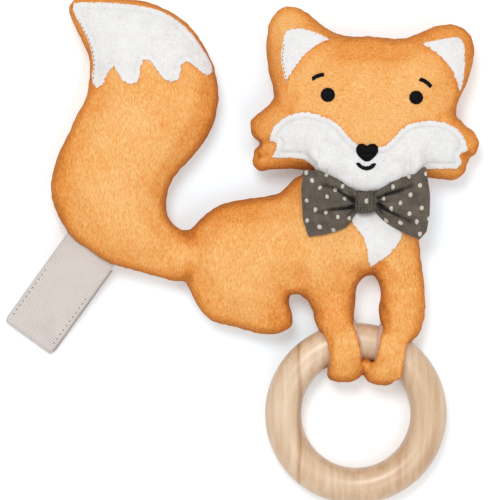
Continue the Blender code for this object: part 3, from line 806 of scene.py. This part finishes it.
skin_at, head_at = skin_tree(skin), skin_tree(head)
muzzle, _ = felt_patch("muzzle", "muzzle_patch", "head", [head_at], shape=chin, sewn=1.0)
ear_l, ear_l_line = felt_patch("left_ear_felt", "left_ear_patch", "head", [head_at])
felt_patch("right_ear_felt", "right_ear_patch", "head", [head_at])
felt_patch("chest_felt", "chest_patch", "torso", [skin_at])
tip, tip_line = felt_patch("tail_tip", "tail_tip_patch", "tail", [skin_at], voxel=0.0005, shape=wider_tip, sewn=0.6)

# %% [markdown]
# ## Splitting the skin at the joints
# The skin bends at the tail's root and at the top of the legs. It is divided across the chest, where nothing
# moves, so that each half spans one of those joints, and each half is closed there by a hidden wall. The
# rattle's capsule lies across that wall, so a pocket for it is cut from both halves.


# %% Halves
def half(ob, name, at, keep):
    part = ob.copy()
    part.data = ob.data.copy()
    part.name = name
    bpy.context.scene.collection.objects.link(part)
    pick(part)
    bpy.ops.object.mode_set(mode="EDIT")
    bpy.ops.mesh.select_all(action="SELECT")
    bpy.ops.mesh.bisect(plane_co=(at, 0, 0), plane_no=(keep, 0, 0), use_fill=True, clear_inner=True)
    bpy.ops.object.mode_set(mode="OBJECT")
    part.data.shade_smooth()
    wall = {e.key for p in part.data.polygons if abs(p.normal.x) > 0.999 and abs(p.center.x - at) < 1e-5
            for e in [part.data.edges[part.data.loops[i].edge_index] for i in p.loop_indices]}
    for e in part.data.edges:
        if e.key in wall:
            e.use_edge_sharp = True
    return part


SPLIT_X = 0.021
rear = half(skin, "rear_skin", SPLIT_X, -1)
front = half(skin, "front_skin", SPLIT_X, 1)
bpy.data.objects.remove(skin)
low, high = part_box("rattle_capsule_back")[0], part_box("rattle_capsule_front")[1]
middle, length = (low + high) / 2, high.x - low.x
pick(floor)
bpy.ops.mesh.primitive_cylinder_add(vertices=64, radius=(high.y - low.y) / 2 + 0.0004, depth=length + 0.0008,
                                    location=middle, rotation=(0, math.pi / 2, 0))
pocket = bake_place(bpy.context.object)
for ob in (rear, front):
    finish_with(ob, "BOOLEAN", operation="DIFFERENCE", solver="EXACT", object=pocket)
    ob.data.materials.clear()
    ob.data.materials.append(plush)
    print(ob.name, triangles(ob), "triangles")
bpy.data.objects.remove(pocket)
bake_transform(rear)
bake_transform(front)
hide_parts(*[n for n in stuffed if n.startswith(("body", "tail"))])
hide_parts(*[n for n in stuffed if "paw" in n])

# %% [markdown]
# ## Stitched face
# Eyes, brows, nose and mouth are satin stitch: black thread laid side by side over a little padding. Each one
# is a low dome with a ridge for every thread.

# %% Thread material
thread, here, shader, place = finish_material("black_thread", "black_thread", 0.5, Specular_IOR_Level=0.06)
strands = place.noise(2600.0, 2.0)
connect(shader, Base_Color=strands.ramp((0.3, (5, 5, 7)), (0.7, (18, 18, 22))),
        Normal=strands.bump(0.5, 0.0002))


# %% Satin stitch
PADDING = 0.0009


def satin(name, node, trees, across, dome=0.0005, wider=0.0, pitch=0.00042, voxel=0.00017):
    """across is the angle, in degrees, of the line along which one thread follows another."""
    ob, outline = cut_flat(name, node, PADDING, voxel)
    co = points(ob)
    inside, _ = path_distance(co[:, :2], outline, closed=True)
    a = math.radians(across)
    ridge = np.cos((co[:, 0] * math.cos(a) + co[:, 1] * math.sin(a)) * 2 * math.pi / pitch)
    top = np.clip(co[:, 2] / PADDING * 2 - 0.8, 0, 1)
    co[:, 2] += top * (dome * (1 - np.exp(-inside / 0.0008)) + 0.00007 * ridge)
    co[:, :2] += normals(ob)[:, :2] * wider
    set_points(ob, co)
    lay(ob, trees, 0.0004)
    dress(ob, thread, "head", node)
    return ob


muzzle_at = skin_tree(muzzle)
satin("stitched_left_eye", "left_eye", [head_at], 90, 0.0007, 0.0001)
satin("stitched_right_eye", "right_eye", [head_at], 90, 0.0007)
satin("stitched_left_brow", "left_brow", [head_at], 20, 0.0004, 0.00022)
satin("stitched_right_brow", "right_brow", [head_at], -40, 0.0004, 0.00022)
satin("stitched_nose", "nose", [head_at, muzzle_at], 0, 0.001, 0.0002)
satin("stitched_mouth", "mouth", [head_at, muzzle_at], 0, 0.0004, 0.00025)

# %% [markdown]
# ## Visible stitches
# Along the outer edge of the left ear's felt and of the tail's tip, the sewing thread shows as a row of small
# dots. One short stretched bead is made, copied as often as the row needs, and each copy is turned so that it
# lies along the row and flat on the cloth.

# %% Stitch thread
sewing, here, shader, place = finish_material("sewing_thread", "black_thread", 0.7)
strands = place.noise(3200.0, 2.0)
connect(shader, Base_Color=strands.ramp((0.3, (186, 122, 76)), (0.7, (222, 162, 112))))


def stitch_row(name, places, body, size=(0.00042, 0.00026, 0.0002), material=sewing):
    """One mesh of short stitches. Each place is a point, the way out of the cloth and the way the row runs."""
    pick(floor)
    bpy.ops.mesh.primitive_uv_sphere_add(segments=12, ring_count=8, radius=1)
    row = bpy.context.object
    row.name = name
    dot = points(row) * size
    finish_with(row, "ARRAY", count=len(places), use_relative_offset=False)
    set_points(row, np.concatenate([dot @ np.array((way, out.cross(way), out)) + at for at, out, way in places]))
    return dress(row, material, body)


def beside(outline, centre, ways, pitch, trees, inset=0.0006):
    """Places on an outline, a pitch apart, where the direction from centre lies between the two given angles."""
    closed = np.vstack([outline, outline[:1]])
    far = np.concatenate([[0], np.cumsum(np.linalg.norm(np.diff(closed, axis=0), axis=1))])
    found = []
    for d in np.arange(0, far[-1], pitch):
        x, y = np.interp(d, far, closed[:, 0]), np.interp(d, far, closed[:, 1])
        to_middle = Vector((centre[0] - x, centre[1] - y, 0))
        angle = math.degrees(math.atan2(-to_middle.y, -to_middle.x)) % 360
        if not ways[0] < angle < ways[1]:
            continue
        x2, y2 = np.interp(d + 0.0004, far, closed[:, 0]), np.interp(d + 0.0004, far, closed[:, 1])
        spot = Vector((x, y, 0)) + to_middle.normalized() * inset
        at, n = surface(trees, spot.x, spot.y)
        way = Vector((x2 - x, y2 - y, 0))
        way = (way - n * way.dot(n)).normalized()
        found.append((at + n * 0.00005, n, way))
    return found


ear_stitches = beside(ear_l_line, ear_l_line.mean(axis=0), (150, 250), 0.0016, [skin_tree(ear_l)])
stitch_row("ear_stitches", ear_stitches, "head")
tip_stitches = beside(tip_line, tip_line.mean(axis=0), (155, 213), 0.0017, [skin_tree(tip)], 0.0003)
stitch_row("tail_tip_stitches", tip_stitches, "tail")
print("stitches:", len(ear_stitches) + len(tip_stitches))

# %% [markdown]
# ## Bow tie
# Two padded wings of dotted cotton are pinched by a gathered band. Its folds are few and each has its place, so
# a wing is not blown up: a finely divided block is drawn out between its top and its bottom edge, made thick in
# the middle and thin at the rim, and then gets the folds that run out of the knot. The print is drawn by
# distance: a spot of the cloth is light where it is close to the middle of a dot.

# %% Cotton material
DOTS = {
    "left": [(24.1, 30.2), (31.8, 29.4), (26.4, 27.1), (29.5, 24.4), (38.2, 25.0), (35.2, 23.4), (32.2, 20.9),
             (38.8, 20.2), (24.5, 19.4), (27.6, 15.9), (31.5, 14.8), (36.1, 13.2), (24.5, 11.7), (29.1, 9.4),
             (34.5, 8.2), (40.7, 12.5)],
    "right": [(63.4, 28.6), (67.6, 25.2), (57.3, 24.8), (64.2, 21.7), (53.8, 20.2), (60.3, 18.6), (68.4, 16.7),
              (63.8, 14.4), (56.5, 16.3), (60.3, 10.9), (66.5, 11.3), (67.6, 6.7), (70.0, 29.8), (71.1, 12.5),
              (54.6, 11.7)],
    "knot": [(47.2, 19.2)]}


def dotted_cotton(where):
    m, here, shader, place = finish_material("dotted_cotton_" + where, "dotted_cotton", 0.88, Specular_IOR_Level=0.2,
                                             Sheen_Weight=0.08)
    fold = stored(here, "fold")
    wobble = place.noise(420.0, 1.0, 1)
    spot = wobble.vectors("MULTIPLY_ADD", i1=(0.0011, 0.0011, 0.0), i2=place)
    spot = spot.vectors("MULTIPLY", i1=(1.1, 0.95, 0.0))
    near = None
    for x, y in DOTS[where]:
        middle = ((x * MM + 0.00055) * 1.1, (y * MM + 0.00055) * 0.95, 0.0)
        r = spot.vectors("DISTANCE", 1, i1=middle)
        near = r if near is None else near.math("MINIMUM", r)
    ground = near.step(0.00066, 0.00094)
    warp, weft = (here.node("ShaderNodeTexWave", {"wave_type": "BANDS", "bands_direction": way}, Vector=place,
                            Scale=560.0, Distortion=0.6) for way in "XY")
    cloudy = place.noise(260.0, 4.0, Roughness=0.6)
    # Painted shade: the cloth is made darker in its folds and in the knot's gathers.
    slub = warp * 0.12 + weft * 0.12 + cloudy * 0.76 - fold * 0.45
    cloth = slub.ramp((0.1, (38, 34, 29)), (0.36, (86, 78, 68)), (0.66, (114, 104, 92)))
    print_tone = slub.ramp((0.1, (150, 142, 128)), (0.5, (216, 209, 195)))
    connect(shader, Base_Color=ground.mix(print_tone, cloth),
            Normal=(warp * weft + cloudy * 0.4).bump(0.35, 0.0003))
    return m


# %% Wings
def along(path, t):
    """Point a share t of the way along a path."""
    path = np.array(path) * MM
    far = np.concatenate([[0], np.cumsum(np.linalg.norm(np.diff(path, axis=0), axis=1))])
    t = np.asarray(t) * far[-1]
    return np.stack([np.interp(t, far, path[:, 0]), np.interp(t, far, path[:, 1])], axis=1)


def wing(name, node, top, bottom, outer, folds, material):
    """top and bottom run from the knot outwards, and outer from the top corner down."""
    pick(floor)
    bpy.ops.mesh.primitive_cube_add(size=1)
    ob = pick(bpy.context.object)
    ob.name = name
    bpy.ops.object.mode_set(mode="EDIT")
    bpy.ops.mesh.select_all(action="SELECT")
    bpy.ops.mesh.subdivide(number_cuts=47)
    bpy.ops.object.mode_set(mode="OBJECT")
    co = points(ob)
    u, v, w = co[:, 0] + 0.5, co[:, 1] + 0.5, co[:, 2]
    high, low = along(top, u), along(bottom, u)
    flat = low + (high - low) * v[:, None]
    straight = along([top[-1], bottom[-1]], 1 - v)
    flat += (along(outer, 1 - v) - straight) * (smooth(u, 0.55, 1.0) ** 1.5)[:, None]
    body = (1 - np.abs(2 * v - 1) ** 4) * (0.35 + 0.65 * np.sin(np.clip(u * 1.08, 0, 1) * math.pi) ** 0.7)
    body *= 1 - smooth(u, 0.86, 1.0) * 0.8
    thick = 0.0013 + 0.0058 * body
    gathers = 0.00045 * np.exp(-u / 0.22) * np.cos((v - 0.5) * 26) * smooth(u, 0.02, 0.1)
    sag = 0.0012 * np.sin(u * 5.0 + v * 3.0) * smooth(u, 0.3, 1)
    under = np.array([surface([skin_at, head_at], x, y)[0].z for x, y in flat])
    middle = np.maximum(0.0228 + sag, under + 0.0003 + thick * 0.5)
    set_points(ob, np.column_stack([flat, middle + w * thick + gathers * (w > 0)]))
    face_outwards(ob)
    relax(ob, 3)
    depth = press(ob, folds, fade=0.75)
    relax(ob, 1)
    # The folds are painted darker by their depth: painted shade.
    mark(ob, "fold", np.clip(depth / 0.0012, 0, 1))
    dress(ob, material, "torso", node)
    print(name, triangles(ob), "triangles")
    return ob


wing("bow_left", "bow_tie_left_wing",
     [(43.8, 22.6), (39.9, 25.0), (37.2, 27.0), (33.4, 29.4), (29.5, 30.9), (23.0, 31.2)],
     [(43.8, 15.0), (42.2, 13.2), (41.1, 10.9), (39.2, 9.0), (35.3, 7.5), (31.5, 6.5), (25.0, 5.6)],
     [(23.0, 31.2), (22.2, 23.6), (22.9, 12.1), (25.0, 5.6)], [
         ([(43.0, 19.2), (39.5, 21.3), (36.0, 24.0), (33.0, 25.0), (30.5, 25.2)], 2.4, 0.7),
         ([(42.8, 17.4), (38.0, 16.5), (33.5, 16.2), (29.0, 15.0)], 2.2, 0.65),
         ([(43.0, 21.0), (40.0, 23.4)], 1.0, 0.5), ([(42.8, 16.0), (40.0, 13.2)], 1.1, 0.5)], dotted_cotton("left"))
wing("bow_right", "bow_tie_right_wing",
     [(50.6, 22.6), (53.2, 24.6), (57.3, 27.6), (64.2, 31.0), (70.0, 32.4)],
     [(50.6, 15.0), (53.8, 11.7), (56.5, 9.8), (62.3, 6.7), (67.6, 4.4)],
     [(70.0, 32.4), (71.7, 21.9), (71.5, 14.0), (70.4, 7.6), (67.6, 4.4)], [
         ([(51.4, 20.6), (55.0, 22.0), (59.0, 22.9), (64.6, 25.2)], 2.4, 0.7),
         ([(51.4, 18.0), (55.0, 16.0), (58.4, 14.2), (63.8, 11.7)], 2.4, 0.7),
         ([(51.6, 19.3), (56.0, 19.4)], 0.9, 0.5), ([(51.6, 16.2), (54.5, 13.2)], 0.9, 0.5)], dotted_cotton("right"))

# %% Knot
KNOT_X, KNOT_Y = 0.0470, 0.0189
GATHER_PITCH, GATHER_DEPTH = 0.0012, 0.00016
knot = copy_of("bow_tie_knot")
knot.name = "bow_knot"
co = points(knot)
co[:, :2] = np.array([KNOT_X, KNOT_Y]) + (co[:, :2] - [0.0473, 0.0180]) * [0.88, 1.2]
set_points(knot, co)
remesh(knot, 0.0004)
relax(knot, 6)
co, n = points(knot), normals(knot)
gather = np.cos(co[:, 0] * 2 * math.pi / GATHER_PITCH + ripple(co, 260, 9.0) * 2.6) * GATHER_DEPTH
pinch = np.exp(-((co[:, 0] - KNOT_X) / 0.0034) ** 2) * 0.0003
co += n * ((gather + pinch) * np.clip(n[:, 2] * 2 + 0.4, 0, 1))[:, None]
set_points(knot, co)
# The valleys between the gathers are painted darker: painted shade.
mark(knot, "fold", np.clip(-gather / GATHER_DEPTH, 0, 1) * 0.4)
dress(knot, dotted_cotton("knot"), "torso", "bow_tie_knot")

# %% [markdown]
# ## Wooden ring
# The ring is turned from pale beech and varnished to a satin finish. The grain runs straight up the ring,
# because it is cut from one board, so the pattern is a stretched noise in the object's own coordinates. One dark
# line is a growth ring, and the sides are painted a little darker than the crown, as painted shade.

# %% Wood material
wood, here, shader, place = finish_material("beech_wood", "beech_wood", 0.38, Coat_Weight=0.6, Coat_Roughness=0.3,
                                            Specular_IOR_Level=0.5)
drift = place.noise(22.0, 2.0)
sway = place.noise(30.0, 1.0, 1)
bent = sway.vectors("MULTIPLY_ADD", i1=(0.006, 0.0, 0.0), i2=place)
long_grain = here.node("ShaderNodeMapping", Vector=bent, Scale=(1.0, 0.05, 0.5))
rings = long_grain.noise(420.0, 3.0, Roughness=0.55)
pores = here.node("ShaderNodeMapping", Vector=place, Scale=(1.0, 0.08, 1.0)).noise(2600.0, 2.0)
across = here.node("ShaderNodeSeparateXYZ", Vector=bent)
turn = stored(here, "turn")
dark_line = 1.0 - (across - 0.0250).math("ABSOLUTE").step(0.00025, 0.0011)
# Painted shade: the sides are made darker where the ring turns away from the light above. The wood is also made darker
# towards +x, the ring's right side.
figure = rings * 0.5 + drift * 0.35 + pores * 0.15 - dark_line * 0.17 - across * 1.6 - turn * 0.2 + 0.06
colour = figure.ramp((0.18, (168, 120, 88)), (0.36, (206, 166, 126)), (0.5, (223, 190, 154)), (0.62, (236, 209, 178)))
connect(shader, Base_Color=colour, Roughness=rings * 0.2 + 0.3,
        Normal=(pores + rings * 0.5).bump(0.08, 0.0002))

# %% Ring
pick(floor)
bpy.ops.mesh.primitive_torus_add(location=ring_at, rotation=ring_axis.to_track_quat("Z", "Y").to_euler(),
                                 major_radius=RING_R, minor_radius=RING_TUBE, major_segments=176, minor_segments=56)
ring = bake_place(bpy.context.object)
ring.name = "teething_ring"
# Painted shade on the sides of the ring, which turn away from the light above.
mark(ring, "turn", (1 - np.abs(normals(ring)[:, 2])) ** 1.5)
dress(ring, wood, "ring", "wooden_ring")
print("ring:", triangles(ring), "triangles")

# %% [markdown]
# ## Cuffs
# Where a paw is closed round the ring, it is lined with a strip of thin pale cotton, which shows as a narrow
# rim beside the wood.

# %% Lining material and cuffs
lining, here, shader, place = finish_material("beige_lining", "beige_lining", 0.85, Specular_IOR_Level=0.2)
threads = place.noise(1800.0, 2.0)
connect(shader, Base_Color=threads.ramp((0.3, (214, 166, 142)), (0.7, (242, 206, 184))),
        Normal=threads.bump(0.3, 0.0002))
for side, shift in (("left", (3.2, 1.5)), ("right", (2.4, -2.0))):
    cuff = paw_wrap(side, 0.0074, (0.0084, 0.0086), shift)
    cuff.name = side + "_cuff"
    remesh(cuff, 0.0004)
    relax(cuff, 4)
    co, n = points(cuff), normals(cuff)
    co += n * (ripple(co, 300, 4.0) * 0.00012)[:, None]
    co[:, 2] = np.maximum(co[:, 2], 0.0002)
    set_points(cuff, co)
    dress(cuff, lining, "paws", side + "_paw_lining")
    print(cuff.name, triangles(cuff), "triangles")

# %% [markdown]
# ## Ribbon strap
# A ribbed ribbon is sewn into the tail's seam, runs out, folds over and comes back under itself. It's one
# strip: a fine grid is bent along that path, gets a rib every 0.9 mm, and is made thick at the end.

# %% Ribbon material
ribbon, here, shader, place = finish_material("ribbon", "ribbon", 0.8, Specular_IOR_Level=0.25)
rib = stored(here, "rib")
weave = place.noise(1500.0, 2.0)
stain = place.noise(90.0, 2.0)
# Painted light and shade on the ribs: their crests are made lighter and the grooves between them darker.
colour = (rib * 0.5 + weave * 0.25 + stain * 0.35 - 0.1).ramp(
    (0.15, (186, 174, 168)), (0.5, (222, 213, 208)), (0.8, (234, 227, 222)))
connect(shader, Base_Color=colour, Normal=weave.bump(0.3, 0.0002))

# %% Strap
STRAP_AT = Vector((-0.05845, 0.00115, SEAM + 0.0001))
slope = math.radians(8.3)
out_way = Vector((-0.586 * math.cos(slope), -0.811 * math.cos(slope), -math.sin(slope))).normalized()
side_way = Vector((0.811, -0.586, 0)).normalized()
strap_up = side_way.cross(out_way)
if strap_up.z < 0:
    strap_up = -strap_up
WIDE, TURN_R, STRAIGHT, LEAF_END = 0.022, 0.0017, 0.0411, 0.0030
LOOP = math.pi * TURN_R
ROOT_END = 0.005  # where the seam's short piece hands over to the strip
RIB_PITCH = 0.0009


def strap_point(s, v, lift=0.0):
    """Point of the strap, s along the ribbon from the seam, v across it, lift out of its face."""
    if s < STRAIGHT:
        u, w, nu, nw = s, 0.0, 0.0, 1.0
    elif s < STRAIGHT + LOOP:
        a = (s - STRAIGHT) / TURN_R
        u, w = STRAIGHT + TURN_R * math.sin(a), -TURN_R + TURN_R * math.cos(a)
        nu, nw = math.sin(a), math.cos(a)
    else:
        u, w, nu, nw = STRAIGHT - (s - STRAIGHT - LOOP), -2 * TURN_R, 0.0, -1.0
    under = min(max((s - STRAIGHT) / LOOP, 0), 1)
    v += under * 0.0007
    return STRAP_AT + out_way * (u + nu * lift) + side_way * v + strap_up * (w + nw * lift)


def ribbon_piece(name, start, end):
    length = end - start
    cells = round(length / (RIB_PITCH / 4))
    pick(floor)
    bpy.ops.mesh.primitive_grid_add(x_subdivisions=cells, y_subdivisions=20, size=1)
    ob = bpy.context.object
    ob.name = name
    co = points(ob)
    ribs = []
    for i, (gx, gy, _) in enumerate(co):
        s = start + (gx + 0.5) * length
        narrow = 1 - 0.075 * math.exp(-((s - STRAIGHT - LOOP / 2) / 0.0016) ** 2)
        selvage = 0.00008 if abs(gy) > 0.46 else 0.0
        wave = math.cos(s * 2 * math.pi / RIB_PITCH)
        # Painted light and shade of the ribs: 1 on a crest, 0 in a groove.
        ribs.append(0.5 + 0.5 * wave)
        co[i] = strap_point(s, gy * WIDE * narrow, 0.00007 * wave + selvage)
    set_points(ob, co)
    mark(ob, "rib", ribs)
    finish_with(ob, "SOLIDIFY", thickness=0.0007, offset=0.0)
    face_outwards(ob)
    ob.data.materials.append(ribbon)
    ob.data.shade_smooth()
    print(name, triangles(ob), "triangles")
    return ob


strap = ribbon_piece("strap_ribbon", ROOT_END, 2 * STRAIGHT + LOOP - LEAF_END)
root = ribbon_piece("strap_root", -0.004, ROOT_END)
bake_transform(strap)
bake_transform(root)
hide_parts("strap_upper_leaf", "strap_lower_leaf")
strap_places = [(strap_point(s, side * 0.0096, 0.00042), strap_up, out_way)
                for side in (-1, 1) for s in np.arange(0.0175, STRAIGHT - 0.0015, 0.0021)]
edge_thread = simple_finish("edge_thread", "ribbon", (138, 128, 120), (170, 160, 152), 3000.0, 0.8, 0.2)
stitch_row("strap_stitches", strap_places, "strap", (0.00045, 0.00022, 0.00016), edge_thread)
print("strap stitches:", len(strap_places))

# %% [markdown]
# ## Parts inside, and the tapes
# The frame's own rattle capsule, beads and tapes have the right shapes, so they stay and get a finish.


# %% Finishes for frame parts
shell = simple_finish("capsule_plastic", "capsule_plastic", (224, 226, 228), (238, 240, 242), 300.0, 0.35, 0.05)
bead = simple_finish("bead_plastic", "bead_plastic", (205, 60, 48), (222, 80, 62), 500.0, 0.25, 0.05)
tape = simple_finish("tape", "tape", (196, 188, 182), (226, 220, 215), 2600.0, 0.8, 0.9)
for n, m in [("rattle_capsule_front", shell), ("rattle_capsule_back", shell), ("bead_1", bead), ("bead_2", bead),
             ("bead_3", bead), ("strap_upper_tape", tape), ("strap_lower_tape", tape)]:
    nodes[n].data.materials.clear()
    nodes[n].data.materials.append(m)
